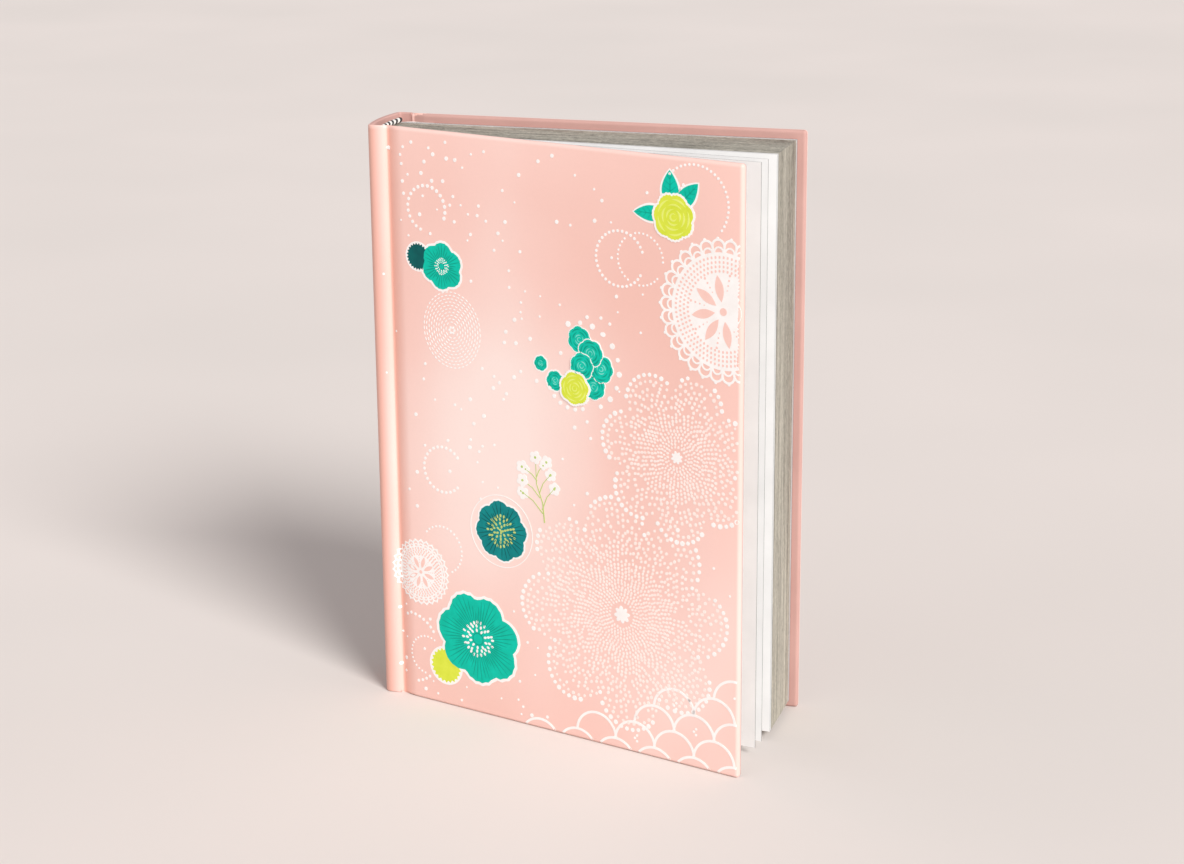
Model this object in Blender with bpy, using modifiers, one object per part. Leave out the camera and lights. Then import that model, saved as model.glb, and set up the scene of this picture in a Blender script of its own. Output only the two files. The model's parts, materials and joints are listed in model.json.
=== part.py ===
"""A case-bound scrapbook album, standing on its tail edges with the front cover ajar.

The closed book lies square to the axes: +X from the spine to the fore-edge, +Y from the front
cover to the back cover, +Z from tail to head. y = 0 is the front cover's outer face and x = 0 is
the bottom of the joint groove. Empties on the hinge axes turn the front cover and its leaves.
Lengths are in millimetres until a mesh is made.
"""

import math

import bmesh
import bpy
from mathutils import Matrix, Vector

MM = 0.001

# Driving dimensions.
LEAF_WIDTH = 148.0
LEAF_HEIGHT = 210.0
SQUARE = 3.0  # how far the covers stand out past the leaves
THICKNESS = 30.4  # over both covers, closed
BOARD = 2.0
SKIN = 0.35  # covering paper
GLUE_GAP = 0.15  # between glued layers of one body
MOVING_GAP = 0.3  # between pieces that move past each other
PAPER = 0.3
PASTEDOWN = 0.25
FORE_EDGE = 146.0  # from the groove to the covers' fore-edge
RAMP = 7.0  # how far the covering takes to rise from the groove to the board
BOARD_START = 4.6
GROOVE_DEPTH = 1.2
GROOVE_HALF = 0.3  # the free gap each side of the groove's bottom
SHOULDER = 7.6  # from the groove to the spine's corner
SPINE_CORNER = 2.5  # radius
SPINE_BULGE = 1.3
SPINE_BOARD = 1.2
TURN_IN = 15.0
EDGE_ROUND = 0.8  # radius of the covers' fore-edge
COVER_AJAR = 16.2  # degrees from the back cover
BLOCK_FAN = 3.2  # degrees: the pages spread towards the fore-edge, and the front closes onto them

# Each loose leaf's angle from the back cover in degrees, outermost first.
FRONT_LEAVES = (("front_flyleaf", 9.6), ("leaf_01", 7.3), ("leaf_02", 3.7), ("leaf_03", 3.4))
BACK_LEAVES = (("back_flyleaf", 0.0), ("leaf_05", 0.0), ("leaf_04", 0.0))
FIRST_PIVOT = 3.4  # from the groove to the outermost leaf's fold
PIVOT_STEP = 1.0  # each leaf's fold is this much further from the groove than the one outside it

SECTIONS = 8
SECTION_GAP = 0.25
SECTION_FOLD = 0.35  # bevel of a section's edges
BINDING_TAPES = (("tape_tail", 48.0), ("tape_middle", 108.0), ("tape_head", 168.0))
TAPE_WIDTH = 10.0
TAPE = 0.35
MULL = 0.2
LINER = 0.2
KETTLE_THREADS = (("kettle_thread_tail", 18.0), ("kettle_thread_head", 198.0))
THREAD = 0.35
BAND = 1.9  # diameter of the headband's and the tailband's bead
BAND_INSET = 6.5  # from the covers' outer faces to a band's ends

# Worked out from them.
HEIGHT = LEAF_HEIGHT + 2 * SQUARE
COVER = 2 * SKIN + 2 * GLUE_GAP + BOARD
LINED_COVER = COVER + GLUE_GAP + PASTEDOWN
LEAF_EDGE = FORE_EDGE - SQUARE
BLOCK_BACK = LEAF_EDGE - LEAF_WIDTH
HINGE_DEPTH = -0.05
LEAF_PITCH = PAPER + MOVING_GAP
FIRST_LEAF = LINED_COVER + MOVING_GAP + LEAF_PITCH / 2
LEAVES_Z = (SQUARE, SQUARE + LEAF_HEIGHT)
FAN_ROOM = 0.45  # what the leaves' folds need in front of the spread pages
BLOCK_FRONT = FIRST_LEAF + (len(FRONT_LEAVES) - 0.5) * LEAF_PITCH + FAN_ROOM
BLOCK_REAR = THICKNESS - FIRST_LEAF - (len(BACK_LEAVES) - 0.5) * LEAF_PITCH

# Colour, roughness and metallic value of each material.
FINISHES = {
    "cover": ((0.93, 0.62, 0.55), 0.55, 0.0),
    "lining": ((0.68, 0.38, 0.33), 0.7, 0.0),
    "board": ((0.42, 0.38, 0.33), 0.95, 0.0),
    "leaf": ((0.92, 0.92, 0.9), 0.85, 0.0),
    "block": ((0.48, 0.46, 0.36), 0.45, 0.3),
    "gauze": ((0.85, 0.83, 0.77), 0.95, 0.0),
    "thread": ((0.88, 0.86, 0.8), 0.8, 0.0),
    "band": ((0.1, 0.1, 0.1), 0.6, 0.0),
}


class Side:
    """The front or the back half of the book: depth runs inwards from that cover's outer face."""

    def __init__(self, name, is_back):
        self.name = name
        self.is_back = is_back

    def y(self, depth):
        return THICKNESS - depth if self.is_back else depth

    def span(self, start, end):
        return sorted((self.y(start), self.y(end)))

    def outline(self, points):
        return [(x, self.y(depth)) for x, depth in points]


FRONT = Side("front", False)
BACK = Side("back", True)


def clear_scene():
    for thing in list(bpy.data.objects):
        bpy.data.objects.remove(thing)


def new_collection(name, hidden=False):
    made = bpy.data.collections.new(name)
    bpy.context.scene.collection.children.link(made)
    made.hide_render = hidden
    return made


def new_axis(name, x=0.0, y=0.0, turn=0.0, parent=None):
    """An empty on a vertical axis, turned by some degrees about it."""
    axis = bpy.data.objects.new(name, None)
    album.objects.link(axis)
    axis.parent = parent
    axis.location = (x * MM, y * MM, 0.0)
    axis.rotation_euler = (0.0, 0.0, math.radians(turn))
    return axis


def finish(name, mesh, axis, kind):
    """An object from a mesh in closed-book metres, with its origin on its axis."""
    mesh.transform(Matrix.Translation(-axis.location) if axis.parent else Matrix.Identity(4))
    piece = bpy.data.objects.new(name, mesh)
    album.objects.link(piece)
    piece.parent = axis
    made = bpy.data.materials.new(name)
    made.use_nodes = True
    colour, roughness, metallic = FINISHES[kind]
    shader = made.node_tree.nodes["Principled BSDF"]
    shader.inputs["Base Color"].default_value = (*colour, 1.0)
    shader.inputs["Roughness"].default_value = roughness
    shader.inputs["Metallic"].default_value = metallic
    mesh.materials.append(made)
    return piece


def mesh_from(name, shape):
    mesh = bpy.data.meshes.new(name)
    shape.to_mesh(mesh)
    shape.free()
    return mesh


def box_mesh(name, x, y, z):
    """A box between the low and high values of each axis."""
    shape = bmesh.new()
    bmesh.ops.create_cube(shape, size=MM)
    sizes = [high - low for low, high in (x, y, z)]
    middle = [MM * (low + high) / 2 for low, high in (x, y, z)]
    bmesh.ops.scale(shape, vec=sizes, verts=shape.verts)
    bmesh.ops.translate(shape, vec=middle, verts=shape.verts)
    return mesh_from(name, shape)


def slab(name, x, y, z, axis, kind, bevel=0.0):
    piece = finish(name, box_mesh(name, x, y, z), axis, kind)
    if bevel:
        rounding = piece.modifiers.new("Folded edges", "BEVEL")
        rounding.width = bevel * MM
        rounding.segments = 2
    return piece


def prism_mesh(name, outline, z):
    """A flat outline, extruded between two heights, as a closed mesh."""
    curve = bpy.data.curves.new(name, "CURVE")
    curve.dimensions = "2D"
    curve.fill_mode = "BOTH"
    curve.extrude = (z[1] - z[0]) / 2 * MM
    spline = curve.splines.new("POLY")
    spline.points.add(len(outline) - 1)
    for point, (x, y) in zip(spline.points, outline):
        point.co = (x * MM, y * MM, 0.0, 1.0)
    spline.use_cyclic_u = True
    holder = bpy.data.objects.new(name, curve)
    album.objects.link(holder)
    graph = bpy.context.evaluated_depsgraph_get()
    mesh = bpy.data.meshes.new_from_object(holder.evaluated_get(graph))
    bpy.data.objects.remove(holder)
    shape = bmesh.new()
    shape.from_mesh(mesh)
    bmesh.ops.remove_doubles(shape, verts=shape.verts, dist=0.01 * MM)
    bmesh.ops.recalc_face_normals(shape, faces=shape.faces)
    bmesh.ops.translate(shape, vec=(0.0, 0.0, MM * (z[0] + z[1]) / 2), verts=shape.verts)
    shape.to_mesh(mesh)
    shape.free()
    mesh.materials.clear()
    return mesh


def cut(piece, name, x, y, z):
    """Takes a box, in closed-book millimetres, out of a piece."""
    mesh = box_mesh(name, x, y, z)
    mesh.transform(Matrix.Translation(-piece.parent.location))
    cutter = bpy.data.objects.new(name, mesh)
    cutters.objects.link(cutter)
    cutter.parent = piece.parent
    cutter.hide_render = True
    cutter.display_type = "WIRE"
    taken = piece.modifiers.new(name, "BOOLEAN")
    taken.operation = "DIFFERENCE"
    taken.solver = "EXACT"
    taken.object = cutter


def sheet(name, profile, z, thickness, axis, kind):
    """A sheet bent along an open profile, with its thickness to the right of the profile."""
    shape = bmesh.new()
    low = [shape.verts.new((x * MM, y * MM, z[0] * MM)) for x, y in profile]
    high = [shape.verts.new((x * MM, y * MM, z[1] * MM)) for x, y in profile]
    for i in range(len(profile) - 1):
        shape.faces.new((low[i], low[i + 1], high[i + 1], high[i]))
    piece = finish(name, mesh_from(name, shape), axis, kind)
    solid = piece.modifiers.new("Thickness", "SOLIDIFY")
    solid.thickness = thickness * MM
    solid.offset = 1.0
    solid.use_even_offset = True
    piece.data.shade_smooth()
    piece.data.set_sharp_from_angle(angle=math.radians(40))
    return piece


def tube(name, route, diameter, axis, kind, resolution=2):
    """A round cord along a route of points, with filled ends."""
    curve = bpy.data.curves.new(name, "CURVE")
    curve.dimensions = "3D"
    curve.bevel_depth = diameter / 2 * MM
    curve.bevel_resolution = resolution
    curve.use_fill_caps = True
    spline = curve.splines.new("POLY")
    spline.points.add(len(route) - 1)
    for point, place in zip(spline.points, route):
        point.co = (*(Vector(place) * MM), 1.0)
    return finish_curve(name, curve, axis, kind)


def finish_curve(name, curve, axis, kind):
    holder = bpy.data.objects.new(name, curve)
    album.objects.link(holder)
    graph = bpy.context.evaluated_depsgraph_get()
    mesh = bpy.data.meshes.new_from_object(holder.evaluated_get(graph))
    bpy.data.objects.remove(holder)
    shape = bmesh.new()
    shape.from_mesh(mesh)
    bmesh.ops.remove_doubles(shape, verts=shape.verts, dist=0.01 * MM)
    shape.to_mesh(mesh)
    shape.free()
    mesh.materials.clear()
    return finish(name, mesh, axis, kind)


def arc(centre, radius, start, end, steps):
    """Points along a circle between two angles in degrees."""
    angles = [math.radians(start + (end - start) * i / steps) for i in range(steps + 1)]
    return [(centre[0] + radius * math.cos(a), centre[1] + radius * math.sin(a)) for a in angles]


def cover_outline(steps=6):
    """A cover's section: the covering falls to the groove in a curve, and the fore-edge is round."""
    fall = [i / steps for i in range(steps + 1)]
    ramp = [
        (GROOVE_HALF + (RAMP - GROOVE_HALF) * s, GROOVE_DEPTH * (1 - s) ** 2) for s in fall
    ]
    edge = FORE_EDGE - EDGE_ROUND
    outer = arc((edge, EDGE_ROUND), EDGE_ROUND, -90, 0, 4)
    inner = arc((edge, COVER - EDGE_ROUND), EDGE_ROUND, 0, 90, 4)
    hinge_side = [(BOARD_START - SKIN, COVER), (GROOVE_HALF, GROOVE_DEPTH + SKIN)]
    return ramp + outer + inner + hinge_side


def spine_x(y, inset=0.0):
    """The outside of the rounded spine, or a surface inside it."""
    half = THICKNESS / 2 - SPINE_CORNER
    across = (y - THICKNESS / 2) / half
    return -SHOULDER - SPINE_BULGE * (1 - across * across) + inset


def spine_half(steps=5):
    """The spine covering's profile from the front groove over the shoulder to the spine's corner."""
    shoulder = [(-GROOVE_HALF, GROOVE_DEPTH), (-0.7, 0.65), (-1.5, 0.25), (-2.8, 0.05), (-4.2, 0.05)]
    corner_x = -SHOULDER + SPINE_CORNER
    corner_y = SPINE_CORNER
    corner = [
        (corner_x - SPINE_CORNER * math.sin(a), corner_y - (SPINE_CORNER - 0.1) * math.cos(a))
        for a in [math.radians(15 + 70 * i / steps) for i in range(steps + 1)]
    ]
    return shoulder + corner


def spine_profile(steps=8):
    front = spine_half()
    back = [(x, THICKNESS - y) for x, y in reversed(front)]
    low = front[-1][1]
    high = back[0][1]
    rows = [low + (high - low) * i / steps for i in range(1, steps)]
    start = front[-1][0]
    half = (high - low) / 2
    face = [(start - SPINE_BULGE * (1 - ((y - THICKNESS / 2) / half) ** 2), y) for y in rows]
    return front + face + back


def build_cover(side, hinge):
    inner_z = (SKIN, HEIGHT - SKIN)
    wrap = finish(
        f"{side.name}_cover_wrap",
        prism_mesh(f"{side.name}_cover_wrap", side.outline(cover_outline()), (0.0, HEIGHT)),
        hinge,
        "cover",
    )
    cut(
        wrap,
        f"{side.name}_board_space",
        (BOARD_START - GLUE_GAP, FORE_EDGE - SKIN),
        side.span(SKIN, COVER - SKIN),
        inner_z,
    )
    cut(
        wrap,
        f"{side.name}_lining_window",
        (BOARD_START + TURN_IN, FORE_EDGE - TURN_IN),
        side.span(COVER - SKIN - GLUE_GAP, COVER + 1.0),
        (TURN_IN, HEIGHT - TURN_IN),
    )
    slab(
        f"{side.name}_board",
        (BOARD_START, FORE_EDGE - SKIN - GLUE_GAP),
        side.span(SKIN + GLUE_GAP, SKIN + GLUE_GAP + BOARD),
        (SKIN + GLUE_GAP, HEIGHT - SKIN - GLUE_GAP),
        hinge,
        "board",
    )
    slab(
        f"{side.name}_pastedown",
        (BOARD_START + 1.0, LEAF_EDGE),
        side.span(COVER + GLUE_GAP, LINED_COVER),
        LEAVES_Z,
        hinge,
        "lining",
    )


def build_leaves(side, leaves, way, lean):
    """Loose leaves, each folding on its own axis. The axes lean with the pages that they lie on."""
    for i, (name, angle) in enumerate(leaves):
        along = FIRST_PIVOT + PIVOT_STEP * i
        inwards = FIRST_LEAF + LEAF_PITCH * i - HINGE_DEPTH
        cosine, sine = math.cos(math.radians(lean)), math.sin(math.radians(lean))
        x = along * cosine + inwards * sine
        y = side.y(HINGE_DEPTH + inwards * cosine - along * sine)
        axis = new_axis(f"{name}_fold", x, y, way * angle, book)
        across = (y - PAPER / 2, y + PAPER / 2)
        slab(name, (x, x + LEAF_EDGE - along), across, LEAVES_Z, axis, "leaf")


def spread(piece):
    """Spreads a section towards the fore-edge, by its share of the block's fan."""
    slope = math.tan(math.radians(BLOCK_FAN))
    for vertex in piece.data.vertices:
        x, y = vertex.co.x / MM, vertex.co.y / MM
        share = (BLOCK_REAR - y) / (BLOCK_REAR - BLOCK_FRONT)
        vertex.co.y = (y - slope * share * (x - BLOCK_BACK)) * MM


def build_sections():
    pitch = (BLOCK_REAR - BLOCK_FRONT + SECTION_GAP) / SECTIONS
    for i in range(SECTIONS):
        front = BLOCK_FRONT + pitch * i
        section = slab(
            f"section_{i + 1:02d}",
            (BLOCK_BACK, LEAF_EDGE),
            (front, front + pitch - SECTION_GAP),
            LEAVES_Z,
            book,
            "block",
            bevel=SECTION_FOLD,
        )
        spread(section)


def build_binding():
    """What holds the sections together behind their folds, from the folds outwards."""
    across = (BLOCK_FRONT + SECTION_GAP, BLOCK_REAR - SECTION_GAP)
    tape_back = BLOCK_BACK - GLUE_GAP
    for name, z in BINDING_TAPES:
        heights = (z - TAPE_WIDTH / 2, z + TAPE_WIDTH / 2)
        slab(name, (tape_back - TAPE, tape_back), across, heights, book, "gauze")
    thread_x = tape_back - THREAD / 2
    for name, z in KETTLE_THREADS:
        tube(name, [(thread_x, y, z) for y in across], THREAD, book, "thread", 1)
    mull_back = tape_back - TAPE - GLUE_GAP
    slab("mull", (mull_back - MULL, mull_back), across, (12.0, HEIGHT - 12.0), book, "gauze")
    liner_back = mull_back - MULL - GLUE_GAP
    slab("spine_liner", (liner_back - LINER, liner_back), across, LEAVES_Z, book, "board")


def build_bands():
    """The two striped bands that finish the ends of the spine, bowed with it."""
    low = BAND_INSET
    high = THICKNESS - BAND_INSET
    rise = BAND / 2 + GLUE_GAP
    steps = 10
    for name, z in (("headband", LEAVES_Z[1] + rise), ("tailband", LEAVES_Z[0] - rise)):
        rows = [low + (high - low) * i / steps for i in range(steps + 1)]
        bow = [1 - ((2 * y - low - high) / (high - low)) ** 2 for y in rows]
        route = [(BLOCK_BACK + 1.1 - 0.5 * b, y, z) for y, b in zip(rows, bow)]
        tube(name, route, BAND, book, "band")


def build_spine():
    inset = SKIN + GLUE_GAP
    sheet("spine_wrap", spine_profile(), (0.0, HEIGHT), SKIN, book, "cover")
    rows = [4.0 + (THICKNESS - 8.0) * i / 8 for i in range(9)]
    card = [(spine_x(y, inset + 0.1), y) for y in rows]
    sheet("spine_board", card, (SQUARE / 2, HEIGHT - SQUARE / 2), SPINE_BOARD, book, "board")


def build_joint(side):
    """The hinge cloth that crosses the groove, under the covering."""
    profile = side.outline([(-2.6, 2.9), (0.0, 2.15), (2.6, 2.9)])
    way = reversed(profile) if side.is_back else profile
    sheet(f"{side.name}_joint", list(way), (4.0, HEIGHT - 4.0), 0.25, book, "gauze")


def stand_on_origin():
    """Moves the book so that its box stands centred on the origin."""
    bpy.context.view_layer.update()
    graph = bpy.context.evaluated_depsgraph_get()
    corners = []
    for piece in album.objects:
        if piece.type == "MESH":
            shape = piece.evaluated_get(graph)
            corners += [shape.matrix_world @ v.co for v in shape.data.vertices]
    low = [min(c[i] for c in corners) for i in range(3)]
    high = [max(c[i] for c in corners) for i in range(3)]
    book.location = (-(low[0] + high[0]) / 2, -(low[1] + high[1]) / 2, -low[2])


clear_scene()
album = new_collection("scrapbook_album")
cutters = new_collection("cutters", hidden=True)
book = new_axis("book")
front_hinge = new_axis("front_cover_axis", 0.0, FRONT.y(HINGE_DEPTH), -COVER_AJAR, book)
back_hinge = new_axis("back_cover_axis", 0.0, BACK.y(HINGE_DEPTH), 0.0, book)
build_cover(FRONT, front_hinge)
build_cover(BACK, back_hinge)
build_leaves(FRONT, FRONT_LEAVES, -1, BLOCK_FAN)
build_leaves(BACK, BACK_LEAVES, 1, 0.0)
build_sections()
build_binding()
build_bands()
build_spine()
build_joint(FRONT)
build_joint(BACK)
stand_on_origin()
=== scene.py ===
import json
import math
import random

import bmesh
import bpy
import numpy as np
from mathutils import Matrix, Vector

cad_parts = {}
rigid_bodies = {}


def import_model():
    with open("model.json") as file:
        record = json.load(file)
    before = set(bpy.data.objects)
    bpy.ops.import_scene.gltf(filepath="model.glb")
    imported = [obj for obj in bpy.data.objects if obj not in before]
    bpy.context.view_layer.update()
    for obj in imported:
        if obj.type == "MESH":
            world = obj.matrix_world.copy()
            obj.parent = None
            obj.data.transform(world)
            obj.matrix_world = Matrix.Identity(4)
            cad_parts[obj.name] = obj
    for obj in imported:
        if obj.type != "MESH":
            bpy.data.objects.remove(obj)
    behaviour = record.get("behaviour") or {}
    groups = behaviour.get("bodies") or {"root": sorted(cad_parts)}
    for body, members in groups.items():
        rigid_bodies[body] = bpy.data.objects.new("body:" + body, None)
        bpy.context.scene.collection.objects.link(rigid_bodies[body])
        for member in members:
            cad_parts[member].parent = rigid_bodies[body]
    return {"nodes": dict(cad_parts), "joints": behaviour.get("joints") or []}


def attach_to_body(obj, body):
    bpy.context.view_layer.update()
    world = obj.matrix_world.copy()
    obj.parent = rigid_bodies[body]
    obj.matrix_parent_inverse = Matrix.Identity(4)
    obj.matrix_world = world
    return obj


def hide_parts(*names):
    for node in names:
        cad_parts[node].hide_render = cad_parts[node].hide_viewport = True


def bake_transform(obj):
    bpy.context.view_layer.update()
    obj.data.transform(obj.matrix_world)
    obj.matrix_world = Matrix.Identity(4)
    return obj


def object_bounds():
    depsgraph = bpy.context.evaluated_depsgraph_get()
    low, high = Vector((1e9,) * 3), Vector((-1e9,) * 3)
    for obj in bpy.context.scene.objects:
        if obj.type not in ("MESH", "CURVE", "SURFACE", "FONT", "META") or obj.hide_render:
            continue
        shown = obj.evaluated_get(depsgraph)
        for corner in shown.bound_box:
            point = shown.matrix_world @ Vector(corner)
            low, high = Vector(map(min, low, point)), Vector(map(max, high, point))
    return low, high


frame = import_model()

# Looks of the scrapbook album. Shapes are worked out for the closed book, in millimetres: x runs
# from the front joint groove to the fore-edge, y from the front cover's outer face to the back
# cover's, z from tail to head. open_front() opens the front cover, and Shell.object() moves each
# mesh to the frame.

MM = 0.001
FIRST_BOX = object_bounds()

JOINTS = {joint["name"]: joint for joint in frame["joints"]}
NODES = frame["nodes"]


def joint_place(name):
    return Vector(JOINTS[name]["pos_m"]) / MM


# Driving dimensions, as in the CAD.
HINGE_DEPTH = -0.05
FRONT_HINGE = joint_place("front_cover_hinge")
BACK_HINGE = joint_place("back_cover_hinge")
ORIGIN = Vector((FRONT_HINGE.x, FRONT_HINGE.y - HINGE_DEPTH, 0.0))
THICKNESS = BACK_HINGE.y - FRONT_HINGE.y + 2 * HINGE_DEPTH
HEIGHT = FIRST_BOX[1][2] / MM
SQUARE = 3.0
LEAF_BOTTOM, LEAF_TOP = SQUARE, HEIGHT - SQUARE
LEAF_EDGE = 143.0
FORE_EDGE = 146.0
COVER_AJAR = 16.2
COVER = 3.0
RAMP = 7.0
RAMP_START = 0.3
GROOVE_DEPTH = 1.2
SHOULDER = 7.6
SHOULDER_DEPTH = 0.05
SPINE_CORNER = 2.5
SPINE_BULGE = 1.3
BOARD_START = 4.6
BLOCK_BACK = -5.0
BLOCK_FRONT = 6.55
BLOCK_REAR = 24.9
BLOCK_FAN = 3.2
SECTIONS = 8
SECTION_GAP = 0.25
PAPER = 0.3
FRONT_LEAVES = (("front_flyleaf", 9.6), ("leaf_01", 7.3), ("leaf_02", 3.7), ("leaf_03", 3.4))
BACK_LEAVES = (("back_flyleaf", 0.0), ("leaf_05", 0.0), ("leaf_04", 0.0))
FIRST_PIVOT = 3.4
PIVOT_STEP = 1.0
BAND = 1.9
BAND_INSET = 6.5

# Dimensions of the visual pieces alone.
EDGE_ROUND = 1.2  # of the covered boards' edges
SEAM = -1.1  # where the covering is split, on the wall of the groove
BEND_HALF = 0.8  # the covering bends this far each side of the groove's bottom
SHOULDER_THICK = 1.2
SPINE_THICK = 2.0
FOLD_HALF = 1.1  # a leaf's fold bends this far each side of its axis
SECTION_SWELL = 0.11  # each section's leaves swell this far into the gap beside it
RIPPLES = 37  # along a leaf's edge, before they repeat


# ---- placing and meshes

def smoothstep(t):
    t = np.clip(t, 0.0, 1.0)
    return t * t * (3 - 2 * t)


def spread(low, high, steps):
    """Evenly spaced values from low to high."""
    return [low + (high - low) * i / steps for i in range(steps + 1)]


def polar(u, v, radius, angle):
    return (u + radius * math.cos(angle), v + radius * math.sin(angle))


def around(count, phase=0.0, turn=0.0):
    """Equal steps round a circle, in radians."""
    return [2 * math.pi * (i + phase) / count + turn for i in range(count)]


def framed(u, v, angle):
    """Makes points from (along, across), where along leads away from (u, v) in that direction."""
    c, s = math.cos(angle), math.sin(angle)
    return lambda along, across=0.0: (u + along * c - across * s, v + along * s + across * c)


def arc_points(u, v, radius, start, end, steps):
    return [polar(u, v, radius, math.radians(turn)) for turn in spread(start, end, steps)]


def turned(points, centre, degrees, share=1.0):
    """Points turned clockwise, seen from above, about a vertical axis."""
    angle = np.radians(degrees) * share
    x, y = points[:, 0] - centre[0], points[:, 1] - centre[1]
    out = points.copy()
    out[:, 0] = centre[0] + x * np.cos(angle) + y * np.sin(angle)
    out[:, 1] = centre[1] - x * np.sin(angle) + y * np.cos(angle)
    return out


def open_front(points):
    """The front cover's points at rest, ajar. Those left of the groove stay where they are."""
    share = smoothstep((points[:, 0] + BEND_HALF) / (2 * BEND_HALF))
    return turned(points, (0.0, HINGE_DEPTH), COVER_AJAR, share)


def to_back(points):
    """The same place on the back half of the book."""
    out = points.copy()
    out[:, 1] = THICKNESS - out[:, 1]
    return out


def metres(point):
    return (Vector(point) + ORIGIN) * MM


CLOSED_PLACE = "closed_place"  # each point's place in the closed book, so that patterns don't slide


class Shell:
    """Collects vertices and faces, then makes one mesh object."""

    def __init__(self):
        self.points = []
        self.faces = []
        self.kinds = []

    def add(self, points, faces, kind=0):
        base = len(self.points)
        self.points.extend(points)
        self.faces.extend(tuple(base + i for i in face) for face in faces)
        self.kinds.extend([kind] * len(faces))

    def object(self, name, materials, place=None, smooth=True):
        closed = np.array(self.points, float).reshape(-1, 3)
        points = place(closed) if place else closed
        points = (points + np.array(ORIGIN)) * MM
        mesh = bpy.data.meshes.new(name)
        mesh.from_pydata(points.tolist(), [], self.faces)
        stored = mesh.attributes.new(CLOSED_PLACE, "FLOAT_VECTOR", "POINT")
        stored.data.foreach_set("vector", (closed * MM).ravel())
        for material in materials:
            mesh.materials.append(material)
        mesh.polygons.foreach_set("material_index", self.kinds)
        mesh.validate()
        mesh.update()
        obj = bpy.data.objects.new(name, mesh)
        bpy.context.scene.collection.objects.link(obj)
        fix_normals(mesh)
        if smooth:
            mesh.shade_smooth()
            mesh.set_sharp_from_angle(angle=math.radians(38))
        return obj


def fix_normals(mesh):
    solid = bmesh.new()
    solid.from_mesh(mesh)
    bmesh.ops.recalc_face_normals(solid, faces=solid.faces)
    solid.to_mesh(mesh)
    solid.free()


def loft(shell, rings, kind=0, caps=True):
    """Joins closed rings of equal length, and closes the ends."""
    count = len(rings[0])
    points = [p for ring in rings for p in ring]
    faces = []
    for i in range(len(rings) - 1):
        for j in range(count):
            k = (j + 1) % count
            faces.append((i * count + j, i * count + k, (i + 1) * count + k, (i + 1) * count + j))
    if caps:
        faces.append(tuple(range(count)))
        last = (len(rings) - 1) * count
        faces.append(tuple(last + j for j in reversed(range(count))))
    shell.add(points, faces, kind)


# ---- materials

def srgb(r, g, b):
    def linear(c):
        c /= 255
        return c / 12.92 if c <= 0.04045 else ((c + 0.055) / 1.055) ** 2.4
    return (linear(r), linear(g), linear(b), 1.0)


class Nodes:
    """A material and short ways to add nodes to it. Colours are 0 to 255 as on a screen."""

    def __init__(self, name, on_cad=False, **uniform):
        self.material = bpy.data.materials.new(name)
        self.material.use_nodes = True
        self.tree = self.material.node_tree
        self.shader = self.tree.nodes["Principled BSDF"]
        for socket, value in uniform.items():
            self.shader.inputs[socket.replace("_", " ")].default_value = value
        if on_cad:
            self.place = self.add("ShaderNodeTexCoord", "Object")
        else:
            self.place = self.add("ShaderNodeAttribute", "Vector", attribute_name=CLOSED_PLACE)

    def feed(self, socket, value):
        """Links another node's output, or sets a plain value."""
        if isinstance(value, bpy.types.NodeSocket):
            self.tree.links.new(value, socket)
        else:
            socket.default_value = value

    def add(self, kind, output, inputs=None, **settings):
        """A new node's output, by name."""
        node = self.tree.nodes.new(kind)
        for key, value in settings.items():
            setattr(node, key, value)
        for key, value in (inputs or {}).items():
            self.feed(node.inputs[key], value)
        return node.outputs[output]

    def axis(self, name):
        return self.add("ShaderNodeSeparateXYZ", name, {"Vector": self.place})

    def scaled(self, x, y, z, rotation=(0.0, 0.0, 0.0)):
        """The place, stretched: a larger number is a finer pattern."""
        return self.add("ShaderNodeMapping", "Vector", {
            "Vector": self.place, "Scale": (x, y, z), "Rotation": rotation,
        })

    def noise(self, scale, detail=3.0, roughness=0.5, vector=None):
        return self.add("ShaderNodeTexNoise", "Fac", {
            "Vector": vector or self.place, "Scale": scale, "Detail": detail, "Roughness": roughness,
        })

    def wave(self, scale, direction, distortion, detail=0.0, vector=None):
        return self.add("ShaderNodeTexWave", "Fac", {
            "Vector": vector or self.place, "Scale": scale, "Distortion": distortion, "Detail": detail,
        }, bands_direction=direction)

    def ramp(self, source, *stops):
        """Colours by value. Each stop is (value, colour)."""
        node = self.tree.nodes.new("ShaderNodeValToRGB")
        elements = node.color_ramp.elements
        while len(elements) < len(stops):
            elements.new(0.5)
        for element, (at, colour) in zip(elements, stops):
            element.position = at
            element.color = srgb(*colour)
        self.feed(node.inputs["Fac"], source)
        return node.outputs["Color"]

    def remap(self, source, low, high, start=0.0, end=1.0):
        return self.add("ShaderNodeMapRange", "Result", {
            "Value": source, "From Min": start, "From Max": end, "To Min": low, "To Max": high,
        })

    def math(self, operation, a, b):
        return self.add("ShaderNodeMath", "Value", {0: a, 1: b}, operation=operation)

    def plus(self, a, b):
        return self.math("ADD", a, b)

    def times(self, a, b):
        return self.math("MULTIPLY", a, b)

    def larger(self, a, b):
        return self.math("MAXIMUM", a, b)

    def mix(self, share, a, b, blend="MIX"):
        node = self.tree.nodes.new("ShaderNodeMix")
        node.data_type, node.blend_type = "RGBA", blend
        for socket, value in zip([s for s in node.inputs if s.enabled], (share, a, b)):
            self.feed(socket, srgb(*value) if isinstance(value, tuple) else value)
        return [s for s in node.outputs if s.enabled][0]

    def finish(self, colour, roughness, bump, height=0.02, strength=0.3):
        """Links the patterns. height is the bump's depth in millimetres."""
        normal = self.add("ShaderNodeBump", "Normal", {
            "Strength": strength, "Distance": height * MM, "Height": bump,
        })
        for name, value in (("Base Color", colour), ("Roughness", roughness), ("Normal", normal)):
            self.feed(self.shader.inputs[name], value)
        return self.material


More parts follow.
